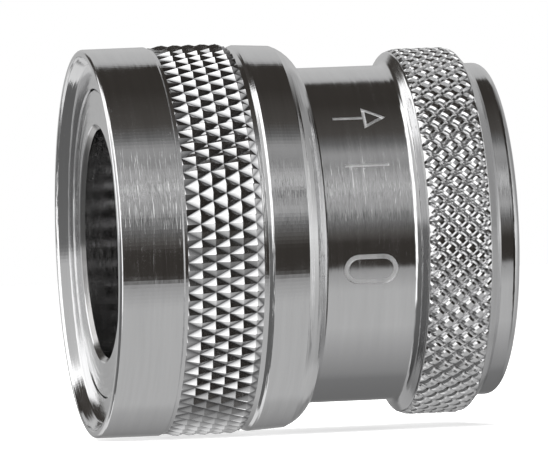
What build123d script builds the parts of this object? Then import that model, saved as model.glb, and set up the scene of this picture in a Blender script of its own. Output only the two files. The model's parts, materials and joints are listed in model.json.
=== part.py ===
from build123d import *
import os
from math import cos, pi, radians, sin, tan

# Quick-release hose coupling, socket half, lying with its axis along X and its mouth towards -X.
# Lengths are in millimetres. The origin is on the axis at the mouth of the pipe thread, +X points
# out of the thread and +Z is up. A station is a distance behind the release sleeve's front rim,
# and a profile point is (station, radius).

os.makedirs("parts", exist_ok=True)

# Overall
total_length = 42.0
thread_lead_in = 1.3  # the chamfer at the thread's mouth
front_rim_x = thread_lead_in - total_length

# Nipple socket in the nose
nose_face = 1.4
nose_bore_r = 11.8
bore_chamfer = 0.5
guide_bore_r = 11.6  # holds the nipple's tip, behind the balls
guide_bore_start = 12.3
guide_step = 0.2
nose_r = 15.45
flange_r = 15.86  # the nose's front flange, which stops the sleeve
flange_end = 2.85
flange_bevel = 0.15

# Locking balls
ball_count = 12
ball_r = 2.25
ball_station = 9.3
ball_circle_r = 13.2
ball_seat_gap = 0.03
sleeve_travel = 3.6
ball_travel = 0.9
cam_slope = ball_travel / sleeve_travel

# Screwed joint between the two halves of the body
joint_face = 19.8
joint_thread_r = 14.6
joint_thread_gap = 0.05
joint_end = 27.6
joint_chamfer = 0.5
o_ring_groove_r = 13.27
o_ring_groove_start = 20.7
o_ring_groove_end = 22.3
o_ring_section_r = 0.66
o_ring_centre_r = 13.96

# Lip seal and its support washer, in a pocket at the end of the nose
seal_pocket_r = 13.0
seal_pocket_start = 23.2
seal_side_gap = 0.05
seal_rim_gap = 0.03
seal_end = 26.3
seal_lip_r = 11.3
seal_back_wall = 1.3  # rubber in front of the seal's groove
seal_heel_r = 11.75
seal_outer_wall = 0.75
seal_groove_width = 0.2
seal_edge = 0.5
seal_lip_edge = 0.35
washer_bore_r = 11.9

# Rear half: waist, knurled ring, collar, gasket pocket and pipe thread
waist_r = 17.3
waist_chamfer = 0.25
ring_start = 31.5
ring_flank_end = 31.78
ring_flank_r = 18.42
ring_land_r = 18.78
ring_knurl_start = 32.05
ring_knurl_end = 38.6
ring_knurl_r = 18.95
ring_knurl_step = 0.05
collar_start = 39.9
collar_r = 17.2
collar_round = 0.9
flow_bore_r = 10.5
web_end = 29.2
gasket_pocket_r = 13.4
gasket_bore_r = 10.6
gasket_gap = 0.05
gasket_thickness = 2.05
thread_start = 31.4
thread_minor_r = 12.06  # G 3/4 inside, 24.12 mm

# Release sleeve
rim_r = 20.0
rim_round = 0.36
rim_flat_r = 19.3
mouth_lip_depth = 0.3
mouth_lip_r = 19.2
mouth_floor = 1.3
mouth_floor_r = 18.6
counterbore_r = 15.94
counterbore_end = 2.9
sleeve_guide_r = 15.51
groove_start = 3.8
groove_r = 16.45
cam_end = ball_station + 0.2
land_end = 10.7
spring_bore_r = 17.38
front_land_r = 20.05
knurl_start = 7.1
knurl_end = 14.9
knurl_r = 20.15
knurl_chamfer = 0.25
hollow_r = 19.62  # the groove that the knurling runs out into
hollow_end = 15.15
rear_land_start = 15.97
rear_land_r = 19.93
rear_taper_deg = 3.3
shoulder_start = 19.3
shoulder_r = 17.48
sleeve_end = 21.95

# Coil spring between the sleeve's inner step and the rear half's front face
wire_r = 0.7
coil_r = 16.45
coil_turns = 2.5
coil_end_gap = 0.05


def at(station, radius):
    # a profile point at a station behind the sleeve's front rim
    return (front_rim_x + station, radius)


# Front half of the body: the nose with its flange, ball pockets, thread and seal pocket
with BuildPart() as front_body:
    with BuildSketch(Plane.XZ):
        with BuildLine():
            Polyline(
                at(nose_face, nose_bore_r + bore_chamfer),
                at(nose_face, flange_r - flange_bevel),
                at(nose_face + flange_bevel, flange_r),
                at(flange_end, flange_r),
                at(flange_end, nose_r),
                at(joint_face, nose_r),
                at(joint_face, joint_thread_r),
                at(o_ring_groove_start, joint_thread_r),
                at(o_ring_groove_start, o_ring_groove_r),
                at(o_ring_groove_end, o_ring_groove_r),
                at(o_ring_groove_end, joint_thread_r),
                at(joint_end - joint_chamfer, joint_thread_r),
                at(joint_end, joint_thread_r - joint_chamfer),
                at(joint_end, seal_pocket_r),
                at(seal_pocket_start, seal_pocket_r),
                at(seal_pocket_start, guide_bore_r),
                at(guide_bore_start, guide_bore_r),
                at(guide_bore_start - guide_step, nose_bore_r),
                at(nose_face + bore_chamfer, nose_bore_r),
                close=True,
            )
        make_face()
    revolve(axis=Axis.X)
    # Each pocket is a radial drilling with a ball-shaped floor, which keeps its ball out of the bore
    with Locations(Plane.YZ.offset(front_rim_x + ball_station)):
        with PolarLocations(ball_circle_r, ball_count):
            Sphere(ball_r + ball_seat_gap, mode=Mode.SUBTRACT)
            Cylinder(
                ball_r + ball_seat_gap,
                nose_r,
                rotation=(0, 90, 0),
                align=(Align.CENTER, Align.CENTER, Align.MIN),
                mode=Mode.SUBTRACT,
            )
front_body.part.label = "front_body"
export_step(front_body.part, "parts/front_body.step")

# Rear half of the body: smooth waist, knurled hand ring, collar, gasket pocket and pipe thread
with BuildPart() as rear_socket:
    with BuildSketch(Plane.XZ):
        with BuildLine():
            Polyline(
                at(joint_face + waist_chamfer, waist_r),
                at(ring_start, waist_r),
                at(ring_flank_end, ring_flank_r),
                at(ring_knurl_start, ring_land_r),
                at(ring_knurl_start + ring_knurl_step, ring_knurl_r),
                at(ring_knurl_end, ring_knurl_r),
                at(collar_start, collar_r),
                at(total_length - collar_round, collar_r),
            )
            TangentArc(
                at(total_length - collar_round, collar_r),
                at(total_length, collar_r - collar_round),
                tangent=(1, 0),
            )
            Polyline(
                at(total_length, collar_r - collar_round),
                at(total_length, thread_minor_r + thread_lead_in),
                at(total_length - thread_lead_in, thread_minor_r),
                at(thread_start, thread_minor_r),
                at(thread_start, gasket_pocket_r),
                at(web_end, gasket_pocket_r),
                at(web_end, flow_bore_r),
                at(joint_end, flow_bore_r),
                at(joint_end, joint_thread_r + joint_thread_gap),
                at(joint_face, joint_thread_r + joint_thread_gap),
                at(joint_face, waist_r - waist_chamfer),
                at(joint_face + waist_chamfer, waist_r),
            )
        make_face()
    revolve(axis=Axis.X)
rear_socket.part.label = "rear_socket"
export_step(rear_socket.part, "parts/rear_socket.step")

# Release sleeve: stepped mouth, knurled grip and rounded shoulder outside, ball cam and spring bore inside
rear_land_drop = (shoulder_start - rear_land_start) * tan(radians(rear_taper_deg))
groove_end = cam_end - (groove_r - sleeve_guide_r) / cam_slope
with BuildPart() as release_sleeve:
    with BuildSketch(Plane.XZ):
        with BuildLine():
            TangentArc(at(0, rim_r - rim_round), at(rim_round, rim_r), tangent=(0, 1))
            Polyline(
                at(rim_round, rim_r),
                at(knurl_start - knurl_chamfer, front_land_r),
                at(knurl_start, knurl_r),
                at(knurl_end, knurl_r),
                at(knurl_end, hollow_r),
                at(hollow_end, hollow_r),
                at(rear_land_start, rear_land_r),
                at(shoulder_start, rear_land_r - rear_land_drop),
            )
            TangentArc(
                at(shoulder_start, rear_land_r - rear_land_drop),
                at(sleeve_end, shoulder_r),
                tangent=(cos(radians(rear_taper_deg)), -sin(radians(rear_taper_deg))),
            )
            Polyline(
                at(sleeve_end, shoulder_r),
                at(sleeve_end, spring_bore_r),
                at(land_end, spring_bore_r),
                at(land_end, sleeve_guide_r),
                at(cam_end, sleeve_guide_r),
                at(groove_end, groove_r),
                at(groove_start, groove_r),
                at(groove_start, sleeve_guide_r),
                at(counterbore_end, sleeve_guide_r),
                at(counterbore_end, counterbore_r),
                at(mouth_floor, counterbore_r),
                at(mouth_floor, mouth_floor_r),
                at(mouth_lip_depth, mouth_lip_r),
                at(0, rim_flat_r),
                at(0, rim_r - rim_round),
            )
        make_face()
    revolve(axis=Axis.X)
release_sleeve.part.label = "release_sleeve"
export_step(release_sleeve.part, "parts/release_sleeve.step")

# Coil spring, at its fitted length
coil_start_x = front_rim_x + land_end + coil_end_gap + wire_r
coil_length = joint_face - land_end - 2 * (coil_end_gap + wire_r)
with BuildPart() as coil_spring:
    with BuildLine() as coil:
        Helix(
            pitch=coil_length / coil_turns,
            height=coil_length,
            radius=coil_r,
            center=(coil_start_x, 0, 0),
            direction=(1, 0, 0),
        )
    with BuildSketch(Plane(origin=coil.line @ 0, z_dir=coil.line % 0)):
        Circle(wire_r)
    sweep()
coil_spring.part.label = "coil_spring"
export_step(coil_spring.part, "parts/coil_spring.step")
wire_length = ((2 * pi * coil_r * coil_turns) ** 2 + coil_length**2) ** 0.5
print("spring volume", coil_spring.part.volume, "expected", pi * wire_r**2 * wire_length)

# Locking balls, each in its own pocket
for number in range(1, ball_count + 1):
    ball_angle = 2 * pi * (number - 1) / ball_count
    ball_centre = (
        front_rim_x + ball_station,
        ball_circle_r * cos(ball_angle),
        ball_circle_r * sin(ball_angle),
    )
    with BuildPart() as ball:
        with Locations(ball_centre):
            Sphere(ball_r)
    ball.part.label = f"ball_{number}"
    export_step(ball.part, f"parts/ball_{number}.step")

# Lip seal around the nipple's tip, with its groove towards the water
seal_start = seal_pocket_start + seal_side_gap
seal_r = seal_pocket_r - seal_rim_gap
groove_outer_r = seal_pocket_r - seal_outer_wall
with BuildPart() as nipple_seal:
    with BuildSketch(Plane.XZ):
        with BuildLine():
            Polyline(
                at(seal_start, seal_r),
                at(seal_end, seal_r),
                at(seal_end, seal_pocket_r - seal_edge),
                at(seal_start + seal_back_wall, groove_outer_r),
                at(seal_start + seal_back_wall, groove_outer_r - seal_groove_width),
                at(seal_end, seal_heel_r),
                at(seal_end - seal_lip_edge, seal_lip_r),
                at(seal_start + seal_edge, seal_heel_r - seal_side_gap),
                at(seal_start, seal_heel_r),
                close=True,
            )
        make_face()
    revolve(axis=Axis.X)
nipple_seal.part.label = "nipple_seal"
export_step(nipple_seal.part, "parts/nipple_seal.step")

# Support washer that keeps the lip seal in its pocket
washer_start = seal_end + seal_side_gap
washer_end = joint_end - seal_side_gap
with BuildPart() as seal_washer:
    with BuildSketch(Plane.YZ.offset(front_rim_x + washer_start)):
        Circle(seal_pocket_r - seal_side_gap)
        Circle(washer_bore_r, mode=Mode.SUBTRACT)
    extrude(amount=washer_end - washer_start)
seal_washer.part.label = "seal_washer"
export_step(seal_washer.part, "parts/seal_washer.step")

# O-ring that seals the screwed joint
with BuildPart() as body_o_ring:
    with Locations(Plane.YZ.offset(front_rim_x + (o_ring_groove_start + o_ring_groove_end) / 2)):
        Torus(o_ring_centre_r, o_ring_section_r)
body_o_ring.part.label = "body_o_ring"
export_step(body_o_ring.part, "parts/body_o_ring.step")

# Flat gasket at the bottom of the pipe thread
with BuildPart() as pipe_gasket:
    with BuildSketch(Plane.YZ.offset(front_rim_x + web_end + gasket_gap)):
        Circle(gasket_pocket_r - gasket_gap)
        Circle(gasket_bore_r, mode=Mode.SUBTRACT)
    extrude(amount=gasket_thickness)
pipe_gasket.part.label = "pipe_gasket"
export_step(pipe_gasket.part, "parts/pipe_gasket.step")
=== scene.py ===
import json
import math
import bmesh
import bpy
from mathutils import Matrix, Vector

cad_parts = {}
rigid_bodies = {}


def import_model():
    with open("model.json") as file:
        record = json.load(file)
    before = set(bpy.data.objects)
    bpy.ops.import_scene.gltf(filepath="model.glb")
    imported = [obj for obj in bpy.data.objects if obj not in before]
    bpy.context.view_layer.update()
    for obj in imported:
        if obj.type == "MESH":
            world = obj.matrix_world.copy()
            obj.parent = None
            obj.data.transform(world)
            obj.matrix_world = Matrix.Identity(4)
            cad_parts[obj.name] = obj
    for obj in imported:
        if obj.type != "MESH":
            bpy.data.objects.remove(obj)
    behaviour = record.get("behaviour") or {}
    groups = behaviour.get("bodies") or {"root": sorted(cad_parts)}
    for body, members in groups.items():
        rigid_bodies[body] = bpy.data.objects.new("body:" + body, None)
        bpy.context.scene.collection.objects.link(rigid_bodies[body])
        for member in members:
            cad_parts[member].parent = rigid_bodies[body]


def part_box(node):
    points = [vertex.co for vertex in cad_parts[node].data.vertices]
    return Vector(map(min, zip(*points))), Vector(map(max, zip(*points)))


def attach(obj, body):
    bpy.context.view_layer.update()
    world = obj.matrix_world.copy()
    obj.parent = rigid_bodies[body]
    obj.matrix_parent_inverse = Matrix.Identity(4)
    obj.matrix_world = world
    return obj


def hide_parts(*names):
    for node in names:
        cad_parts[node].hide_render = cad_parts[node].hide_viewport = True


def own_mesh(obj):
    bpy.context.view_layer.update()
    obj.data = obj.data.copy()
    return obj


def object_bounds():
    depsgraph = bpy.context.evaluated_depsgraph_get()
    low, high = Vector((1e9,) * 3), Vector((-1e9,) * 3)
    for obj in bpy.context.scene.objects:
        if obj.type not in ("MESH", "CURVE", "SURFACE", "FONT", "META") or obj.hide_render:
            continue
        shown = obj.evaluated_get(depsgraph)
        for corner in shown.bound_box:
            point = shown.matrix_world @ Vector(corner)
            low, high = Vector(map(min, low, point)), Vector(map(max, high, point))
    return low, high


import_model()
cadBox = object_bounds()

mm = 0.001
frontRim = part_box("release_sleeve")[0][0] / mm    # the sleeve's front edge, in mm along X
turnedWeld = 0.0008    # how near points have to be to be joined, in mm
knurlWeld = 0.002


# small helpers that add nodes to a tree and feed their sockets
def addNode(tree, kind, **settings):
    node = tree.nodes.new(kind)
    for name, value in settings.items():
        setattr(node, name, value)
    return node


def feed(tree, socket, value):
    if isinstance(value, bpy.types.NodeSocket):
        tree.links.new(value, socket)
    elif value is not None:
        socket.default_value = value


def calc(tree, operation, *values, clamp=False):
    node = addNode(tree, "ShaderNodeMath", operation=operation, use_clamp=clamp)
    for socket, value in zip(node.inputs, values):
        feed(tree, socket, value)
    return node.outputs[0]


def wholeCalc(tree, operation, *values):
    node = addNode(tree, "FunctionNodeIntegerMath", operation=operation)
    for socket, value in zip(node.inputs, values):
        feed(tree, socket, value)
    return node.outputs[0]


def join3(tree, x=0.0, y=0.0, z=0.0):
    node = addNode(tree, "ShaderNodeCombineXYZ")
    for socket, value in zip(node.inputs, (x, y, z)):
        feed(tree, socket, value)
    return node.outputs[0]


def split3(tree, vector):
    node = addNode(tree, "ShaderNodeSeparateXYZ")
    feed(tree, node.inputs[0], vector)
    return node.outputs[:]


def use(tree, kind, inputs, **settings):
    node = addNode(tree, kind, **settings)
    for name, value in inputs.items():
        feed(tree, node.inputs[name], value)
    return node


def awayFromAxis(tree, y, z):
    squares = [calc(tree, "MULTIPLY", c, c) for c in (y, z)]
    return calc(tree, "SQRT", calc(tree, "ADD", *squares))


def ramp(tree, value, low, high, toLow=0.0, toHigh=1.0):
    return use(tree, "ShaderNodeMapRange", {
        "Value": value, "From Min": low, "From Max": high, "To Min": toLow, "To Max": toHigh}).outputs[0]


def newTree(name, kind, inputs, outputs):
    tree = bpy.data.node_groups.new(name, kind)
    for label, socketType, value in inputs:
        socket = tree.interface.new_socket(label, in_out="INPUT", socket_type=socketType)
        if value is not None:
            socket.default_value = value
    for label, socketType in outputs:
        tree.interface.new_socket(label, in_out="OUTPUT", socket_type=socketType)
    return tree, addNode(tree, "NodeGroupInput").outputs, addNode(tree, "NodeGroupOutput").inputs


# the Geometry Nodes trees: a lathe and two knurls
def smoothBelow(tree, mesh, angle):
    edgeAngle = addNode(tree, "GeometryNodeInputMeshEdgeAngle").outputs["Unsigned Angle"]
    node = addNode(tree, "GeometryNodeSetShadeSmooth", domain="EDGE")
    feed(tree, node.inputs[0], mesh)
    feed(tree, node.inputs["Shade Smooth"], calc(tree, "LESS_THAN", edgeAngle, angle))
    return node.outputs[0]


def finishTree(tree, mesh, material, out):
    scaled = use(tree, "GeometryNodeTransform", {"Geometry": mesh, "Scale": (mm, mm, mm)}).outputs[0]
    whole = use(tree, "GeometryNodeRealizeInstances", {"Geometry": scaled}).outputs[0]
    coated = use(tree, "GeometryNodeSetMaterial", {"Geometry": whole, "Material": material}).outputs[0]
    feed(tree, out, coated)


def buildTurningTree():
    # sweeps the object's own outline (x, radius in mm) round the X axis, as a lathe or as a helix
    tree, given, out = newTree("turnOnAxis", "GeometryNodeTree", [
        ("Outline", "NodeSocketGeometry", None), ("Steps", "NodeSocketInt", 256),
        ("Turns", "NodeSocketFloat", 1.0), ("Pitch", "NodeSocketFloat", 0.0),
        ("Run Out", "NodeSocketFloat", 1.0), ("End Width", "NodeSocketFloat", 1.0),
        ("Section Centre", "NodeSocketVector", None), ("Smooth Below", "NodeSocketFloat", 0.6),
        ("Finish", "NodeSocketMaterial", None)], [("Geometry", "NodeSocketGeometry")])
    size = use(tree, "GeometryNodeAttributeDomainSize", {"Geometry": given["Outline"]})
    count = size.outputs["Point Count"]
    across = wholeCalc(tree, "ADD", given["Steps"], 1)
    grid = use(tree, "GeometryNodeMeshGrid", {
        "Vertices X": wholeCalc(tree, "ADD", count, 1), "Vertices Y": across}).outputs["Mesh"]
    index = addNode(tree, "GeometryNodeInputIndex").outputs[0]
    place = wholeCalc(tree, "MODULO", wholeCalc(tree, "DIVIDE", index, across), count)
    step = wholeCalc(tree, "MODULO", index, across)
    sampled = use(tree, "GeometryNodeSampleIndex", {
        "Geometry": given["Outline"], "Value": addNode(tree, "GeometryNodeInputPosition").outputs[0],
        "Index": place}, data_type="FLOAT_VECTOR").outputs[0]
    fromEnd = calc(tree, "MINIMUM", step, calc(tree, "SUBTRACT", given["Steps"], step))
    grown = calc(tree, "DIVIDE", fromEnd, given["Run Out"], clamp=True)
    width = use(tree, "ShaderNodeMapRange", {
        "Value": grown, "To Min": given["End Width"], "To Max": 1.0}).outputs[0]
    px, pr, _ = split3(tree, sampled)
    cx, cr, _ = split3(tree, given["Section Centre"])
    share = calc(tree, "DIVIDE", step, given["Steps"])
    turned = calc(tree, "MULTIPLY", share, given["Turns"])
    x = calc(tree, "MULTIPLY_ADD", calc(tree, "SUBTRACT", px, cx), width, cx)
    x = calc(tree, "MULTIPLY_ADD", turned, given["Pitch"], x)
    radius = calc(tree, "MULTIPLY_ADD", calc(tree, "SUBTRACT", pr, cr), width, cr)
    angle = calc(tree, "MULTIPLY", turned, math.tau)
    spot = join3(tree, x, calc(tree, "MULTIPLY", radius, calc(tree, "COSINE", angle)),
                 calc(tree, "MULTIPLY", radius, calc(tree, "SINE", angle)))
    placed = use(tree, "GeometryNodeSetPosition", {"Geometry": grid, "Position": spot}).outputs[0]
    merged = use(tree, "GeometryNodeMergeByDistance", {
        "Geometry": placed, "Distance": turnedWeld}).outputs[0]
    finishTree(tree, smoothBelow(tree, merged, given["Smooth Below"]), given["Finish"], out[0])
    return tree


def addPointedCell(tree, given):
    # a four-sided point on a diamond
    cone = use(tree, "GeometryNodeMeshCone", {
        "Vertices": 4, "Side Segments": 1, "Radius Top": given["Flat Tip"],
        "Radius Bottom": 1.0, "Depth": 1.0}, fill_type="NGON")
    bare = use(tree, "GeometryNodeDeleteGeometry", {
        "Geometry": cone.outputs["Mesh"], "Selection": cone.outputs["Bottom"]}, domain="FACE")
    ux, uy, _ = split3(tree, addNode(tree, "GeometryNodeInputPosition").outputs[0])
    outwards = calc(tree, "ADD", calc(tree, "ABSOLUTE", ux), calc(tree, "ABSOLUTE", uy))
    return bare.outputs[0], ux, uy, calc(tree, "SUBTRACT", 1.0, outwards)


def addDomedCell(tree, given):
    # a small cushion on a diamond, a square grid stood on its corner
    across = 7    # points along each side of a cushion
    grid = use(tree, "GeometryNodeMeshGrid", {
        "Size X": 2.0, "Size Y": 2.0, "Vertices X": across, "Vertices Y": across}).outputs["Mesh"]
    u, v, _ = split3(tree, addNode(tree, "GeometryNodeInputPosition").outputs[0])
    falls = [calc(tree, "POWER", calc(tree, "ABSOLUTE", c), given["Dome"]) for c in (u, v)]
    sides = [calc(tree, "SUBTRACT", 1.0, fall) for fall in falls]
    ux = calc(tree, "MULTIPLY", calc(tree, "ADD", u, v), 0.5)
    uy = calc(tree, "MULTIPLY", calc(tree, "SUBTRACT", v, u), 0.5)
    return grid, ux, uy, calc(tree, "MULTIPLY", *sides)


def buildKnurlTree(name, addCell, cellInput):
    # a staggered net of raised cells, wrapped round the X axis and closed on its inside
    tree, given, out = newTree(name, "GeometryNodeTree", [
        ("Geometry", "NodeSocketGeometry", None),
        ("Start", "NodeSocketFloat", 0.0), ("Length", "NodeSocketFloat", 8.0),
        ("Column Pitch", "NodeSocketFloat", 1.4), ("Columns", "NodeSocketInt", 6),
        ("Around", "NodeSocketInt", 80), ("Root Radius", "NodeSocketFloat", 19.8),
        ("Height", "NodeSocketFloat", 0.45), (cellInput, "NodeSocketFloat", 1.0),
        ("End Height", "NodeSocketFloat", 0.6), ("Wall", "NodeSocketFloat", 0.4),
        ("Smooth Below", "NodeSocketFloat", 0.3), ("Finish", "NodeSocketMaterial", None)],
        [("Geometry", "NodeSocketGeometry")])
    endShare = 0.6    # how much of a column the lowered ends take
    girth = calc(tree, "MULTIPLY", given["Root Radius"], math.tau)
    spacing = calc(tree, "DIVIDE", girth, given["Around"])
    cell, ux, uy, rise = addCell(tree, given)
    shaped = use(tree, "GeometryNodeSetPosition", {"Geometry": cell, "Position": join3(
        tree, calc(tree, "MULTIPLY", ux, given["Column Pitch"]),
        calc(tree, "MULTIPLY", uy, calc(tree, "MULTIPLY", spacing, 0.5)),
        calc(tree, "MULTIPLY", rise, given["Height"]))}).outputs[0]
    # a staggered lattice laid out flat
    lines = wholeCalc(tree, "ADD", given["Columns"], 1)
    index = addNode(tree, "GeometryNodeInputIndex").outputs[0]
    column = wholeCalc(tree, "MODULO", index, lines)
    row = wholeCalc(tree, "DIVIDE", index, lines)
    stagger = calc(tree, "MULTIPLY", wholeCalc(tree, "MODULO", column, 2), 0.5)
    lattice = use(tree, "GeometryNodePoints", {
        "Count": wholeCalc(tree, "MULTIPLY", lines, given["Around"]), "Position": join3(
            tree, calc(tree, "MULTIPLY", column, given["Column Pitch"]),
            calc(tree, "MULTIPLY", calc(tree, "ADD", row, stagger), spacing), 0.0)}).outputs[0]
    copies = use(tree, "GeometryNodeInstanceOnPoints", {"Points": lattice, "Instance": shaped}).outputs[0]
    flat = use(tree, "GeometryNodeRealizeInstances", {"Geometry": copies}).outputs[0]
    # trim the end columns square and lower them, then wrap
    fx, fy, fz = split3(tree, addNode(tree, "GeometryNodeInputPosition").outputs[0])
    trimmed = calc(tree, "MINIMUM", calc(tree, "MAXIMUM", fx, 0.0), given["Length"])
    inset = calc(tree, "MINIMUM", trimmed, calc(tree, "SUBTRACT", given["Length"], trimmed))
    sloped = calc(tree, "MULTIPLY", given["Column Pitch"], endShare)
    nearEnd = calc(tree, "DIVIDE", inset, sloped, clamp=True)
    lowered = use(tree, "ShaderNodeMapRange", {
        "Value": nearEnd, "To Min": given["End Height"], "To Max": 1.0}).outputs[0]
    radius = calc(tree, "MULTIPLY_ADD", fz, lowered, given["Root Radius"])
    angle = calc(tree, "DIVIDE", calc(tree, "MULTIPLY", fy, -1.0), given["Root Radius"])
    wrapped = use(tree, "GeometryNodeSetPosition", {"Geometry": flat, "Position": join3(
        tree, calc(tree, "ADD", trimmed, given["Start"]),
        calc(tree, "MULTIPLY", radius, calc(tree, "COSINE", angle)),
        calc(tree, "MULTIPLY", radius, calc(tree, "SINE", angle)))}).outputs[0]
    skin = use(tree, "GeometryNodeMergeByDistance", {
        "Geometry": wrapped, "Distance": knurlWeld}).outputs[0]
    # a plain inner wall behind the points
    extruded = use(tree, "GeometryNodeExtrudeMesh", {
        "Mesh": skin, "Offset Scale": calc(tree, "MULTIPLY", given["Wall"], -1.0),
        "Individual": False}, mode="FACES")
    wx, wy, wz = split3(tree, addNode(tree, "GeometryNodeInputPosition").outputs[0])
    distance = awayFromAxis(tree, wy, wz)
    inner = calc(tree, "SUBTRACT", given["Root Radius"], given["Wall"])
    scaleIn = calc(tree, "DIVIDE", inner, distance)
    flatWall = join3(tree, wx, calc(tree, "MULTIPLY", wy, scaleIn), calc(tree, "MULTIPLY", wz, scaleIn))
    pushed = use(tree, "GeometryNodeSetPosition", {
        "Geometry": extruded.outputs["Mesh"], "Selection": extruded.outputs["Top"],
        "Position": flatWall}).outputs[0]
    back = use(tree, "GeometryNodeFlipFaces", {"Mesh": pushed}).outputs[0]
    both = addNode(tree, "GeometryNodeJoinGeometry")
    feed(tree, both.inputs[0], skin)
    feed(tree, both.inputs[0], back)
    closed = use(tree, "GeometryNodeMergeByDistance", {
        "Geometry": both.outputs[0], "Distance": knurlWeld}).outputs[0]
    finishTree(tree, smoothBelow(tree, closed, given["Smooth Below"]), given["Finish"], out[0])
    return tree


turningTree = buildTurningTree()
pointedKnurl = buildKnurlTree("pointedKnurl", addPointedCell, "Flat Tip")
cushionKnurl = buildKnurlTree("cushionKnurl", addDomedCell, "Dome")
print("stage: geometry trees")


def roundedOutline(corners, arcSteps=6):
    # corners are (x, radius, rounding); each rounding becomes an arc tangent to both sides
    longest = 0.995    # the share of a side that one arc may take
    points = []
    for i, (x, r, rounding) in enumerate(corners):
        here = Vector((x, r))
        before = Vector(corners[i - 1][:2]) - here
        after = Vector(corners[(i + 1) % len(corners)][:2]) - here
        if rounding <= 0:
            points.append(here)
            continue
        a, b = before.normalized(), after.normalized()
        half = a.angle(b) / 2
        reach = min(rounding / math.tan(half), longest * before.length, longest * after.length)
        radius = reach * math.tan(half)
        centre = here + (a + b).normalized() * (radius / math.sin(half))
        start, sweep = here + a * reach - centre, math.pi - 2 * half
        side = 1 if a.x * b.y - a.y * b.x < 0 else -1
        for k in range(arcSteps + 1):
            points.append(centre + Matrix.Rotation(side * sweep * k / arcSteps, 2) @ start)
    return points


def makePiece(name, tree, outline, settings):
    # runs a geometry tree on an outline and keeps the result as a plain mesh
    turnSum = sum(a[0] * b[1] - a[1] * b[0] for a, b in zip(outline, outline[1:] + outline[:1]))
    if turnSum > 0:
        outline = outline[::-1]    # so that the faces look outwards
    mesh = bpy.data.meshes.new(name + "Outline")
    mesh.from_pydata([(p[0], p[1], 0) for p in outline], [], [])
    seed = bpy.data.objects.new(name + "Seed", mesh)
    bpy.context.scene.collection.objects.link(seed)
    modifier = seed.modifiers.new(name, "NODES")
    modifier.node_group = tree
    for item in tree.interface.items_tree:
        if item.in_out == "INPUT" and item.name in settings:
            modifier[item.identifier] = settings[item.name]
    shown = seed.evaluated_get(bpy.context.evaluated_depsgraph_get())
    result = bpy.data.meshes.new_from_object(shown)
    for slot in reversed(range(len(result.materials))):
        if result.materials[slot] is None:
            result.materials.pop(index=slot)
    piece = bpy.data.objects.new(name, result)
    bpy.context.scene.collection.objects.link(piece)
    bpy.data.objects.remove(seed)
    return piece


def joinAndShade(mesh, smoothAngle):
    # joins loose triangles and keeps an edge sharp where it turns by more than the angle
    work = bmesh.new()
    work.from_mesh(mesh)
    bmesh.ops.remove_doubles(work, verts=work.verts, dist=knurlWeld * mm)
    for face in work.faces:
        face.smooth = True
    for edge in work.edges:
        edge.smooth = len(edge.link_faces) == 2 and edge.calc_face_angle() < smoothAngle
    work.to_mesh(mesh)
    work.free()


def keepRound(mesh, radius):
    # beside an engraved mark, the plain cylinder keeps the normals of a turned surface
    slack, facing, level = 0.01 * mm, 0.99, 0.001
    normals = []
    for face in mesh.polygons:
        for corner in face.vertices:
            spot = mesh.vertices[corner].co
            far = math.hypot(spot.y, spot.z)
            outer = face.normal.y * spot.y + face.normal.z * spot.z > facing * far
            plain = outer and abs(face.normal.x) < level and abs(far - radius * mm) < slack
            normals.append((0, spot.y / far, spot.z / far) if plain else (0, 0, 0))
    mesh.normals_split_custom_set(normals)


def tidyCopy(name, node, material, smoothAngle=0.5):
    # a copy of a CAD piece, made fit for smooth shading
    mesh = bpy.data.objects[node].data.copy()
    joinAndShade(mesh, smoothAngle)
    for layer in [a.name for a in mesh.attributes if a.name == "custom_normal"]:
        mesh.attributes.remove(mesh.attributes[layer])
    mesh.materials.clear()
    mesh.materials.append(material)
    piece = bpy.data.objects.new(name, mesh)
    bpy.context.scene.collection.objects.link(piece)
    return piece


def place(piece, body, slot, *nodes):
    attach(piece, body)
    if nodes:
        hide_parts(*nodes)


# effects that several materials share
def axisPlace(tree):
    # where a point lies on a turned piece: its x, y and z in mm, and how far it is from the axis
    x, y, z = split3(tree, addNode(tree, "ShaderNodeTexCoord").outputs["Object"])
    x, y, z = (calc(tree, "MULTIPLY", c, 1 / mm) for c in (x, y, z))
    return x, y, z, awayFromAxis(tree, y, z)


noiseSpan = (0.3, 0.7)    # where nearly all of a noise's values lie
handlingValues = {"smudges": (0.42, 0.72), "crack": 0.006, "handled": (0.5, 0.6)}


def buildLatheLines():
    # the marks of a cutting tool: rings round the axis that fade in and out along their way
    tree, given, out = newTree("latheLines", "ShaderNodeTree", [
        ("Lines per mm", "NodeSocketFloat", 7.0), ("Streaks per mm", "NodeSocketFloat", 1.3),
        ("Wander", "NodeSocketFloat", 0.07)],
        [("Lines", "NodeSocketFloat"), ("Streaks", "NodeSocketFloat")])
    x, y, z, radius = axisPlace(tree)
    wy, wz = calc(tree, "MULTIPLY", y, given["Wander"]), calc(tree, "MULTIPLY", z, given["Wander"])
    for target, density, detail in (("Lines", "Lines per mm", 2.0), ("Streaks", "Streaks per mm", 4.0)):
        noise = use(tree, "ShaderNodeTexNoise", {
            "Vector": join3(tree, calc(tree, "MULTIPLY", x, given[density]), wy, wz),
            "W": calc(tree, "MULTIPLY", radius, given[density]), "Scale": 1.0, "Detail": detail,
            "Roughness": 0.65}, noise_dimensions="4D")
        feed(tree, out[target], ramp(tree, noise.outputs["Fac"], *noiseSpan))
    return tree


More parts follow.
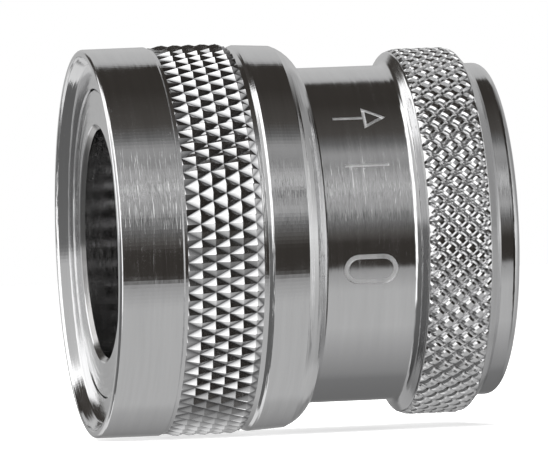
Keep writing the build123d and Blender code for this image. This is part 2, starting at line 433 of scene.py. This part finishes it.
def buildHandling():
    # finger smudges, and thin scratches that run any way
    tree, given, out = newTree("handling", "ShaderNodeTree", [
        ("Smudges per mm", "NodeSocketFloat", 0.22), ("Scratches per mm", "NodeSocketFloat", 0.5)],
        [("Smudges", "NodeSocketFloat"), ("Scratches", "NodeSocketFloat")])
    x, y, z, _ = axisPlace(tree)
    here = join3(tree, x, y, z)
    smudge = use(tree, "ShaderNodeTexNoise", {
        "Vector": here, "Scale": given["Smudges per mm"], "Detail": 5.0, "Roughness": 0.6,
        "Distortion": 0.4})
    feed(tree, out["Smudges"], ramp(tree, smudge.outputs["Fac"], *handlingValues["smudges"]))
    thin = use(tree, "ShaderNodeTexNoise", {
        "Vector": here, "Scale": given["Scratches per mm"], "Detail": 1.0, "Distortion": 2.2})
    crack = calc(tree, "ABSOLUTE", calc(tree, "SUBTRACT", thin.outputs["Fac"], 0.5))
    scratch = ramp(tree, crack, 0.0, handlingValues["crack"], 1.0, 0.0)
    handled = ramp(tree, smudge.outputs["Fac"], *handlingValues["handled"])
    feed(tree, out["Scratches"], calc(tree, "MULTIPLY", scratch, handled))
    return tree


def buildRootShade():
    # how far a point lies down between the knurl's cells; the mask for the painted shade in the roots
    tree, given, out = newTree("rootShade", "ShaderNodeTree", [
        ("Root Radius", "NodeSocketFloat", 19.8), ("Tip Radius", "NodeSocketFloat", 20.25)],
        [("Depth", "NodeSocketFloat")])
    radius = axisPlace(tree)[3]
    feed(tree, out["Depth"], ramp(tree, radius, given["Root Radius"], given["Tip Radius"], 1.0, 0.0))
    return tree


def buildSpeckle():
    # fine unevenness with a lower, blotchy layer under it
    tree, given, out = newTree("speckle", "ShaderNodeTree", [
        ("Grains per mm", "NodeSocketFloat", 5.0), ("Blotches per mm", "NodeSocketFloat", 0.4)],
        [("Grain", "NodeSocketFloat"), ("Blotches", "NodeSocketFloat")])
    x, y, z, _ = axisPlace(tree)
    here = join3(tree, x, y, z)
    for target, density in (("Grain", "Grains per mm"), ("Blotches", "Blotches per mm")):
        noise = use(tree, "ShaderNodeTexNoise", {
            "Vector": here, "Scale": given[density], "Detail": 3.0, "Roughness": 0.6})
        feed(tree, out[target], ramp(tree, noise.outputs["Fac"], *noiseSpan))
    return tree


latheLines = buildLatheLines()
handling = buildHandling()
rootShade = buildRootShade()
speckle = buildSpeckle()


def newMaterial(name):
    material = bpy.data.materials.new(name)
    material.use_nodes = True
    tree = material.node_tree
    tree.nodes.clear()
    shader = addNode(tree, "ShaderNodeBsdfPrincipled")
    feed(tree, addNode(tree, "ShaderNodeOutputMaterial").inputs["Surface"], shader.outputs[0])
    return material, tree, shader


def group(tree, source, **inputs):
    node = addNode(tree, "ShaderNodeGroup", node_tree=source)
    for name, value in inputs.items():
        feed(tree, node.inputs[name.replace("_", " ")], value)
    return node.outputs


def blend(tree, share, first, second):
    node = use(tree, "ShaderNodeMix", {"Factor": share}, data_type="RGBA")
    feed(tree, node.inputs[6], first)
    feed(tree, node.inputs[7], second)
    return node.outputs[2]


def relief(tree, height, distance, below=None):
    return use(tree, "ShaderNodeBump", {
        "Height": height, "Distance": distance, "Strength": 1.0, "Normal": below}).outputs[0]


def metal(name, look):
    # plated or bare metal: lathe lines, smudges and scratches over one base colour, which optional
    # painted shade darkens in knurl roots, under the neck and inside the bore
    material, tree, shader = newMaterial(name)
    lines = group(tree, latheLines, Lines_per_mm=look["lines"], Streaks_per_mm=look["streaks"])
    marks = group(tree, handling)
    tone = blend(tree, lines["Streaks"], look["dark"], look["light"])
    gloss = ramp(tree, lines["Streaks"], 0.0, 1.0, look["gloss"][0], look["gloss"][1])
    # painted shade: darker towards the bottom of the grooves between the knurl's cells, by depth between
    # root and tip; rougher there too
    if "rootRadius" in look:
        depth = group(
            tree, rootShade, Root_Radius=look["rootRadius"], Tip_Radius=look["tipRadius"])["Depth"]
        tone = blend(tree, calc(tree, "POWER", depth, look["rootShadeFall"]), tone, look["rootShadeColour"])
        gloss = calc(tree, "MULTIPLY_ADD", depth, look["rootGloss"], gloss)
    gloss = calc(tree, "MULTIPLY_ADD", marks["Smudges"], look["smudge"], gloss)
    gloss = calc(tree, "MULTIPLY_ADD", marks["Scratches"], look["scratch"], gloss)
    if "underShadeColour" in look:
        # painted shade: darker towards the underside of the neck, standing in for the shade there between
        # the sleeve and the ring
        _, _, z, radius = axisPlace(tree)
        under = ramp(tree, calc(tree, "DIVIDE", z, radius), *look["underShadeFrom"], 1.0, 0.0)
        tone = blend(tree, under, tone, look["underShadeColour"])
    if "boreRadius" in look:
        # painted shade: darker inside the bore, its strength varying with the smudge pattern; the bore is
        # rougher too
        inside = calc(tree, "LESS_THAN", axisPlace(tree)[3], look["boreRadius"])
        boreShadeStrength = ramp(tree, marks["Smudges"], 0.0, 1.0, 1.0, look["boreShadeMottle"])
        paintedBoreShade = calc(tree, "MULTIPLY", inside, boreShadeStrength)
        tone = blend(tree, paintedBoreShade, tone, look["boreShadeColour"])
        gloss = calc(tree, "MULTIPLY_ADD", inside, look["boreGloss"], gloss)
    feed(tree, shader.inputs["Base Color"], tone)
    feed(tree, shader.inputs["Roughness"], gloss)
    fine = relief(tree, lines["Lines"], look["relief"])
    feed(tree, shader.inputs["Normal"], relief(tree, lines["Streaks"], look["waves"], fine))
    shader.inputs["Metallic"].default_value = 1.0
    return material


def rubber(name, look):
    material, tree, shader = newMaterial(name)
    grain = group(tree, speckle, Grains_per_mm=look["grains"])
    feed(tree, shader.inputs["Base Color"], blend(tree, grain["Blotches"], look["dark"], look["light"]))
    feed(tree, shader.inputs["Roughness"], ramp(tree, grain["Blotches"], 0.0, 1.0, *look["gloss"]))
    feed(tree, shader.inputs["Normal"], relief(tree, grain["Grain"], look["relief"]))
    shader.inputs["Specular IOR Level"].default_value = look["specular"]
    return material


# lines and streaks are counted per mm, and relief and waves are depths in metres
chromeLook = {
    "dark": (0.80, 0.80, 0.805, 1), "light": (0.87, 0.87, 0.875, 1), "gloss": (0.05, 0.12),
    "lines": 4.0, "streaks": 1.2, "smudge": 0.06, "scratch": 0.15, "relief": 0.0000012,
    "waves": 0.00002}
# knurled chrome: painted shade darkens the roots between the cells
gripLook = dict(
    chromeLook, rootRadius=19.75, tipRadius=20.1, rootShadeColour=(0.28, 0.28, 0.285, 1), rootShadeFall=2.8,
    rootGloss=0.08, relief=0.0000004, waves=0.000002)
ringLook = dict(
    gripLook, rootRadius=18.5, tipRadius=18.85, rootShadeColour=(0.3, 0.3, 0.305, 1), rootShadeFall=3.5)
# the nose's chrome, with painted shade inside the bore
boreLook = dict(
    chromeLook, boreRadius=12.2, boreShadeColour=(0.5, 0.495, 0.49, 1), boreShadeMottle=0.6, boreGloss=0.06)
# the neck's chrome, with painted shade on its underside
neckShadeLook = dict(chromeLook, underShadeColour=(0.38, 0.38, 0.385, 1), underShadeFrom=(-0.86, -0.55))
cutLook = dict(chromeLook, gloss=(0.34, 0.46), light=(0.95, 0.95, 0.95, 1), waves=0.0)
chromePlate = metal("chromePlate", chromeLook)
boreChrome = metal("boreChrome", boreLook)
neckShadedChrome = metal("neckShadedChrome", neckShadeLook)
cutChrome = metal("cutChrome", cutLook)
gripChrome = metal("gripChrome", gripLook)
ringChrome = metal("ringChrome", ringLook)
ballSteel = metal("ballSteel", dict(
    chromeLook, dark=(0.55, 0.55, 0.57, 1), light=(0.66, 0.66, 0.67, 1), gloss=(0.08, 0.12),
    relief=0.0, waves=0.0))
springSteel = metal("springSteel", dict(
    chromeLook, dark=(0.36, 0.35, 0.34, 1), light=(0.52, 0.51, 0.49, 1), gloss=(0.22, 0.34), streaks=3.0))
washerBrass = metal("washerBrass", dict(
    chromeLook, dark=(0.62, 0.42, 0.16, 1), light=(0.80, 0.58, 0.26, 1), gloss=(0.2, 0.34)))
blackRubber = rubber("blackRubber", {
    "dark": (0.010, 0.010, 0.011, 1), "light": (0.024, 0.024, 0.025, 1), "gloss": (0.42, 0.62),
    "grains": 6.0, "relief": 0.00001, "specular": 0.4})
print("stage: materials")


def shifted(outline):
    return [(frontRim + station, radius, rounding) for station, radius, rounding in outline]


def knurledBand(name, tree, values, cellInput, finish):
    return makePiece(name, tree, [(0, 0)], {
        "Start": frontRim + values["start"], "Length": values["length"],
        "Column Pitch": values["pitch"], "Columns": values["columns"], "Around": values["around"],
        "Root Radius": values["root"], "Height": values["height"], cellInput: values["cell"],
        "End Height": values["endHeight"], "Wall": values["wall"], "Smooth Below": values["smoothBelow"],
        "Finish": finish})


# release sleeve: dished mouth, plain lands, seat for the knurl, shoulder, and its inside;
# an outline's corners are (mm behind the front edge, radius, rounding)
sleeveValues = {
    "steps": 320,
    "outline": [
        (0.0, 20.0, 0.36), (6.6, 20.03, 0.1), (6.76, 19.82, 0.05), (7.1, 19.82, 0.0), (7.1, 19.5, 0.0),
        (14.9, 19.5, 0.0), (14.9, 19.62, 0.0), (15.45, 19.64, 0.05), (15.72, 19.83, 0.08),
        (15.97, 19.92, 0.03), (19.6, 19.72, 0.05), (21.265, 19.114, 4.0), (21.95, 17.48, 0.0),
        (21.95, 17.38, 0.0), (10.7, 17.38, 0.0), (10.7, 15.51, 0.15), (9.5, 15.51, 0.0),
        (5.74, 16.45, 0.0), (3.8, 16.45, 0.0), (3.8, 15.51, 0.1), (2.9, 15.51, 0.1), (2.9, 15.94, 0.0),
        (1.3, 15.94, 0.05), (1.3, 18.6, 0.3), (0.3, 19.2, 0.2), (0.0, 19.3, 0.08)]}
sleeveShell = makePiece("sleeveShell", turningTree, roundedOutline(shifted(sleeveValues["outline"])), {
    "Steps": sleeveValues["steps"], "Finish": chromePlate})
place(sleeveShell, "sleeve", "chrome_plate", "release_sleeve")

gripValues = {
    "start": 7.1, "length": 7.8, "pitch": 1.42, "columns": 6, "around": 80, "root": 19.74, "height": 0.41,
    "cell": 0.07, "endHeight": 0.35, "wall": 0.4, "smoothBelow": 0.2}
sleeveGrip = knurledBand("sleeveGrip", pointedKnurl, gripValues, "Flat Tip", gripChrome)
place(sleeveGrip, "sleeve", "chrome_plate", "release_sleeve")
print("stage: release sleeve")

# rear half of the body: waist, knurled hand ring, collar and pipe thread
rearValues = {
    "steps": 320,
    "outline": [
        (19.8, 17.3, 0.25), (31.5, 17.3, 0.85), (32.05, 18.55, 0.2), (32.25, 18.72, 0.05),
        (32.25, 18.2, 0.0), (38.6, 18.2, 0.0), (38.6, 18.72, 0.05), (39.9, 17.2, 0.12), (42.0, 17.2, 0.9),
        (42.0, 13.36, 0.08), (41.85, 13.22, 0.0), (31.4, 13.22, 0.0), (31.4, 13.4, 0.0),
        (29.2, 13.4, 0.0), (29.2, 10.5, 0.15), (27.6, 10.5, 0.15), (27.6, 14.65, 0.0),
        (19.8, 14.65, 0.1)]}
rearShell = makePiece("rearShell", turningTree, roundedOutline(shifted(rearValues["outline"])), {
    "Steps": rearValues["steps"], "Finish": neckShadedChrome})

ringValues = {
    "start": 32.25, "length": 6.348, "pitch": 1.058, "columns": 6, "around": 60, "root": 18.54,
    "height": 0.41, "cell": 3.3, "endHeight": 0.4, "wall": 0.4, "smoothBelow": 0.75}
ringGrip = knurledBand("ringGrip", cushionKnurl, ringValues, "Dome", ringChrome)

# parallel pipe thread, a ridge that runs out at both ends;
# its section is (mm along X, mm towards the axis)
threadValues = {
    "turns": 4.9, "pitch": 1.814, "first": 31.75, "root": 13.26, "steps": 700, "runOut": 60.0,
    "sunk": 0.1,
    "section": [
        (-0.82, 0.0), (-0.7, 0.0), (-0.2, 1.06), (-0.12, 1.17), (0.0, 1.2), (0.12, 1.17), (0.2, 1.06),
        (0.7, 0.0), (0.82, 0.0), (0.82, -0.15), (-0.82, -0.15)]}
threadStart = frontRim + threadValues["first"]
pipeThread = makePiece("pipeThread", turningTree, [
    (threadStart + x, threadValues["root"] - up) for x, up in threadValues["section"]], {
    "Steps": threadValues["steps"], "Turns": threadValues["turns"], "Pitch": threadValues["pitch"],
    "Run Out": threadValues["runOut"], "End Width": 0.0,
    "Section Centre": (threadStart, threadValues["root"] + threadValues["sunk"], 0.0),
    "Finish": chromePlate})
print("stage: rear half")


# engraved marks on the waist: an arrow for the pull, a stroke and a plain rounded outline;
# a mark's points are (mm along X, mm round the waist)
markValues = {
    "station": 26.4, "radius": 17.3, "depth": 0.2, "stroke": 0.42, "bottom": 0.6, "above": 0.3,
    "bluntest": 0.4, "arrow": 0.745, "bar": 0.41, "oval": -0.215}


def strokeCutter(points, width, angle, closed):
    # a trench tool that follows a line on the waist, narrower at its bottom
    top, bottom = markValues["radius"] + markValues["above"], markValues["radius"] - markValues["depth"]
    vertices, faces = [], []
    count = len(points)
    for i, point in enumerate(points):
        here = Vector(point)
        before = Vector(points[i - 1] if i or closed else point)
        after = Vector(points[(i + 1) % count] if i + 1 < count or closed else point)
        a = (here - before).normalized() if before != here else (after - here).normalized()
        b = (after - here).normalized() if after != here else a
        along = (a + b).normalized()
        side = Vector((-along.y, along.x)) * width / 2 / max(markValues["bluntest"], along.dot(b))
        narrow = side * markValues["bottom"]
        for offset, level in ((side, top), (-side, top), (-narrow, bottom), (narrow, bottom)):
            spot = here + offset
            turn = angle + spot.y / markValues["radius"]
            vertices.append((
                (frontRim + markValues["station"] + spot.x) * mm, -level * math.cos(turn) * mm,
                level * math.sin(turn) * mm))
    for i in range(count if closed else count - 1):
        j = (i + 1) % count
        for k in range(4):
            faces.append((4 * i + k, 4 * i + (k + 1) % 4, 4 * j + (k + 1) % 4, 4 * j + k))
    if not closed:
        faces += [(3, 2, 1, 0), tuple(4 * (count - 1) + k for k in range(4))]
    mesh = bpy.data.meshes.new("trench")
    mesh.from_pydata(vertices, [], faces)
    mesh.materials.append(cutChrome)
    work = bmesh.new()
    work.from_mesh(mesh)
    bmesh.ops.recalc_face_normals(work, faces=work.faces)
    work.to_mesh(mesh)
    work.free()
    cutter = bpy.data.objects.new("trench", mesh)
    bpy.context.scene.collection.objects.link(cutter)
    return cutter


def stadium(length, width, steps=10):
    # two half circles joined by straight sides
    points = []
    for end in (1, -1):
        for k in range(steps + 1):
            turn = -math.pi / 2 + math.pi * k / steps + (0 if end > 0 else math.pi)
            x = end * (length - width) / 2 + math.cos(turn) * width / 2
            points.append((x, math.sin(turn) * width / 2))
    return points


# each mark's points, its place round the waist, how bold it is and whether its line closes
marks = [
    ([(0.7, 1.15), (2.6, 0.0), (0.7, -1.15)], "arrow", 1.0, True),
    ([(-2.6, 0.0), (0.6, 0.0)], "arrow", 1.0, False),
    ([(-2.1, 0.0), (2.5, 0.0)], "bar", 1.0, False),
    (stadium(5.1, 2.6), "oval", 1.5, True)]
for points, where, boldness, closed in marks:
    cutter = strokeCutter(points, markValues["stroke"] * boldness, markValues[where], closed)
    cut = rearShell.modifiers.new("engrave", "BOOLEAN")
    cut.object = cutter
    cut.operation = "DIFFERENCE"
    cut.solver = "EXACT"
    cut.material_mode = "TRANSFER"
engraved = bpy.data.meshes.new_from_object(rearShell.evaluated_get(bpy.context.evaluated_depsgraph_get()))
rearShell.modifiers.clear()
joinAndShade(engraved, smoothAngle=0.4)
keepRound(engraved, markValues["radius"])
rearShell.data = engraved
for tool in [o for o in bpy.data.objects if o.name.startswith("trench")]:
    bpy.data.objects.remove(tool)
place(rearShell, "body", "chrome_plate", "rear_socket")
place(ringGrip, "body", "chrome_plate", "rear_socket")
place(pipeThread, "body", "chrome_plate", "rear_socket")
print("stage: engraved marks")

# front half of the body and what it holds
nose = tidyCopy("nose", "front_body", boreChrome)
place(nose, "body", "chrome_plate", "front_body")
for node, name, material, slot in (
        ("nipple_seal", "lipSeal", blackRubber, "black_rubber"),
        ("seal_washer", "sealWasher", washerBrass, "washer_brass"),
        ("body_o_ring", "jointRing", blackRubber, "black_rubber"),
        ("pipe_gasket", "flatGasket", blackRubber, "black_rubber")):
    place(tidyCopy(name, node, material), "body", slot, node)
ballCount = 12
for number in range(1, ballCount + 1):
    ball = tidyCopy(f"lockBall{number}", f"ball_{number}", ballSteel, smoothAngle=1.0)
    place(ball, f"ball_{number}", "ball_steel", f"ball_{number}")
print("stage: nose, seals and balls")

# coil spring, which shortens as the sleeve is pulled back
springValues = {
    "wire": 0.7, "coil": 16.45, "turns": 2.5, "front": 10.7, "back": 19.8, "gap": 0.05, "pull": 3.6,
    "steps": 360, "sides": 14, "runOut": 2.0, "smoothBelow": 0.8}
springFirst = springValues["front"] + springValues["gap"] + springValues["wire"]
springLast = springValues["back"] - springValues["gap"] - springValues["wire"]
springStart = frontRim + springFirst
section = [(springStart + springValues["wire"] * math.cos(math.tau * k / springValues["sides"]),
            springValues["coil"] + springValues["wire"] * math.sin(math.tau * k / springValues["sides"]))
           for k in range(springValues["sides"])]
sleeveSpring = makePiece("sleeveSpring", turningTree, section, {
    "Steps": springValues["steps"], "Turns": springValues["turns"],
    "Pitch": (springLast - springFirst) / springValues["turns"], "Run Out": springValues["runOut"],
    "End Width": 0.0, "Section Centre": (springStart, springValues["coil"], 0.0),
    "Smooth Below": springValues["smoothBelow"], "Finish": springSteel})
place(sleeveSpring, "spring", "spring_steel", "coil_spring")
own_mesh(sleeveSpring)
print("stage: spring")

# floor
floorValues = {
    "gap": 0.15, "reach": 3.0, "grain": 30.0, "dark": (0.86, 0.86, 0.86, 1),
    "light": (0.88, 0.88, 0.88, 1), "roughness": 0.9, "glow": 0.6}
floorHeight = cadBox[0][2] - floorValues["gap"] * mm
floorMesh = bpy.data.meshes.new("floor")
floorMesh.from_pydata([
    (x * floorValues["reach"], y * floorValues["reach"], floorHeight)
    for x, y in ((-1, -1), (1, -1), (1, 1), (-1, 1))], [], [(0, 1, 2, 3)])
floor = bpy.data.objects.new("floor", floorMesh)
bpy.context.scene.collection.objects.link(floor)
floor.visible_glossy = False
floorPaint, floorTree, floorShader = newMaterial("floorPaint")
floorNoise = use(floorTree, "ShaderNodeTexNoise", {"Scale": floorValues["grain"], "Detail": 2.0})
feed(floorTree, floorShader.inputs["Base Color"], blend(
    floorTree, floorNoise.outputs["Fac"], floorValues["dark"], floorValues["light"]))
floorShader.inputs["Roughness"].default_value = floorValues["roughness"]
floorShader.inputs["Specular IOR Level"].default_value = 0.0
floorShader.inputs["Emission Color"].default_value = (1, 1, 1, 1)
floorShader.inputs["Emission Strength"].default_value = floorValues["glow"]
floorMesh.materials.append(floorPaint)

# the studio round the object: (degrees round the axis from the camera side over the top, brightness),
# for its middle and for what lies further to each side
studioTones = [
    (-180, 0.38), (-160, 0.22), (-120, 0.40), (-112, 0.48), (-40, 0.48), (-32, 0.40), (-25, 0.34),
    (-23, 0.035), (-6, 0.035), (0, 0.08), (8, 0.15), (16, 0.26), (30, 0.38), (46, 0.28), (56, 0.32),
    (64, 0.13), (72, 0.065), (100, 0.035), (127, 0.035), (130, 0.42), (136, 0.50), (160, 0.54),
    (180, 0.46)]
leftTones = [
    (-180, 0.60), (-140, 0.75), (-100, 0.90), (-75, 0.35), (-56, 0.30), (-46, 1.3), (98, 1.6),
    (106, 0.30), (112, 0.05), (170, 0.04), (180, 0.30)]
farLeftTones = [
    (-180, 0.42), (-145, 0.42), (-132, 0.14), (-120, 0.12), (-60, 0.13), (0, 0.15), (6, 0.22), (14, 0.5),
    (90, 0.55), (102, 1.3), (170, 1.2), (176, 0.7), (180, 0.35)]
rightTones = [
    (-180, 0.42), (-115, 0.50), (-85, 0.25), (-62, 0.05), (-50, 0.02), (95, 0.02), (110, 0.10),
    (140, 0.40), (180, 0.42)]
farRightTones = [(-180, 0.34), (-110, 0.42), (-60, 0.52), (0, 0.80), (60, 0.50), (110, 0.30), (180, 0.30)]
# where the left side begins: a direction's x with 0.5 added
leftEdges = [
    (-180, 0.30), (-150, 0.45), (-60, 0.42), (-50, 0.48), (5, 0.5), (10, 0.58), (50, 0.58), (60, 0.5),
    (95, 0.45), (100, 0.30), (160, 0.34), (172, 0.28), (180, 0.28)]
studioValues = {
    "leftFade": 0.08, "farLeft": (-0.48, -0.52), "farLeftTilt": 0.22, "farLeftTop": 0.1,
    "right": (0.46, 0.52), "farRight": (0.70, 0.74),
    "rimLine": 0.79, "rimHalfWidth": 0.022, "rimFade": (-0.5, -0.3), "rimColour": (1.1, 1.1, 1.1, 1),
    "mottleAlong": 14.0, "mottleAround": 0.05, "mottleRange": (0.38, 0.62), "mottleTones": (0.25, 2.1),
    "busyFrom": (-6.0, 8.0), "busyTo": (40.0, 50.0), "warmth": 0.16, "warmBelow": 0.12}
world = bpy.data.worlds.new("studio")
bpy.context.scene.world = world
world.use_nodes = True
studio = world.node_tree
studio.nodes.clear()


def toneRamp(tree, share, stops):
    # brightness by the share of a full turn, a little warm where it is dark
    node = addNode(tree, "ShaderNodeValToRGB")
    places = node.color_ramp.elements
    while len(places) < len(stops):
        places.new(0.5)
    for element, (at, tone) in zip(places, stops):
        element.position = (at + 180) / 360
        darkness = max(0.0, studioValues["warmBelow"] - tone) / studioValues["warmBelow"]
        warm = 1.0 + studioValues["warmth"] * darkness
        element.color = (tone * warm, tone, tone / warm, 1)
    feed(tree, node.inputs[0], share)
    return node.outputs[0]


dx, dy, dz = split3(studio, addNode(studio, "ShaderNodeTexCoord").outputs["Generated"])
around = calc(studio, "DEGREES", calc(studio, "ARCTAN2", dz, calc(studio, "MULTIPLY", dy, -1.0)))
share = ramp(studio, around, -180.0, 180.0)
# the busy part in front, broken up by mottling
mottlePlace = join3(studio, calc(studio, "MULTIPLY", dx, studioValues["mottleAlong"]),
                    calc(studio, "MULTIPLY", around, studioValues["mottleAround"]), 0.0)
mottle = use(studio, "ShaderNodeTexNoise", {
    "Vector": mottlePlace, "Scale": 1.0, "Detail": 3.0, "Roughness": 0.6}).outputs["Fac"]
busy = calc(studio, "MULTIPLY", ramp(studio, around, *studioValues["busyFrom"]),
            ramp(studio, around, *studioValues["busyTo"], 1.0, 0.0))
uneven = ramp(studio, mottle, *studioValues["mottleRange"], *studioValues["mottleTones"])
uneven = calc(studio, "MULTIPLY_ADD", busy, calc(studio, "SUBTRACT", uneven, 1.0), 1.0)
brightness = addNode(studio, "ShaderNodeVectorMath", operation="SCALE")
feed(studio, brightness.inputs[0], toneRamp(studio, share, studioTones))
feed(studio, brightness.inputs["Scale"], uneven)
# the sides, laid over the middle one after another
edge = calc(studio, "SUBTRACT", toneRamp(studio, share, leftEdges), 0.5)
pastLeft = calc(studio, "SUBTRACT", edge, dx)
lowUp = calc(studio, "MINIMUM", dz, studioValues["farLeftTop"])
tilted = calc(studio, "MULTIPLY_ADD", lowUp, studioValues["farLeftTilt"], dx)
look = brightness.outputs[0]
for stops, beyond in (
        (leftTones, ramp(studio, pastLeft, 0.0, studioValues["leftFade"])),
        (farLeftTones, ramp(studio, tilted, *studioValues["farLeft"])),
        (rightTones, ramp(studio, dx, *studioValues["right"])),
        (farRightTones, ramp(studio, dx, *studioValues["farRight"]))):
    look = blend(studio, beyond, look, toneRamp(studio, share, stops))
onRim = calc(studio, "COMPARE", dx, studioValues["rimLine"], studioValues["rimHalfWidth"])
rimLine = calc(studio, "MULTIPLY", onRim, ramp(studio, dy, *studioValues["rimFade"], 1.0, 0.0))
look = blend(studio, rimLine, look, studioValues["rimColour"])
tones = use(studio, "ShaderNodeBackground", {"Color": look}).outputs[0]
plain = use(studio, "ShaderNodeBackground", {"Color": (1, 1, 1, 1)}).outputs[0]
seen = addNode(studio, "ShaderNodeMixShader")
feed(studio, seen.inputs[0], addNode(studio, "ShaderNodeLightPath").outputs["Is Camera Ray"])
feed(studio, seen.inputs[1], tones)
feed(studio, seen.inputs[2], plain)
feed(studio, addNode(studio, "ShaderNodeOutputWorld").inputs["Surface"], seen.outputs[0])


# soft lamps, placed in metres from the middle of the object
middle = Vector(((frontRim + 19.7) * mm, 0, 0))
lampValues = {
    "softTop": {"offset": (-0.05, -0.1, 0.5), "size": 0.5, "power": 4.0},
    "softLeft": {"offset": (-0.35, -0.3, 0.25), "size": 0.3, "power": 1.5}}
for name, values in lampValues.items():
    lamp = bpy.data.lights.new(name, "AREA")
    lamp.shape = "DISK"
    lamp.size = values["size"]
    lamp.energy = values["power"]
    box = bpy.data.objects.new(name, lamp)
    bpy.context.scene.collection.objects.link(box)
    box.location = middle + Vector(values["offset"])
    box.rotation_euler = (-Vector(values["offset"])).to_track_quat("-Z", "Y").to_euler()
    box.visible_glossy = False

# camera
cameraValues = {
    "distance": 0.862, "azimuth": -10.7, "elevation": 0.0, "roll": -2.3, "lens": 548.2, "sensor": 36.0,
    "aimHeight": 0.58, "farthest": 20.0}
turn, lift = (math.radians(cameraValues[k]) for k in ("azimuth", "elevation"))
outwards = Vector((math.sin(turn) * math.cos(lift), -math.cos(turn) * math.cos(lift), math.sin(lift)))
view = bpy.data.objects.new("view", bpy.data.cameras.new("view"))
bpy.context.scene.collection.objects.link(view)
view.data.lens = cameraValues["lens"]
view.data.sensor_width = cameraValues["sensor"]
view.data.clip_end = cameraValues["farthest"]
aim = middle + Vector((0, 0, cameraValues["aimHeight"] * mm))
view.location = aim + outwards * cameraValues["distance"]
rollAxis = Matrix.Rotation(math.radians(cameraValues["roll"]), 4, outwards)
view.rotation_euler = (rollAxis @ outwards.to_track_quat("Z", "Y").to_matrix().to_4x4()).to_euler()
bpy.context.scene.camera = view
bpy.context.scene.view_settings.view_transform = "Standard"

print("stage: floor, light and camera")
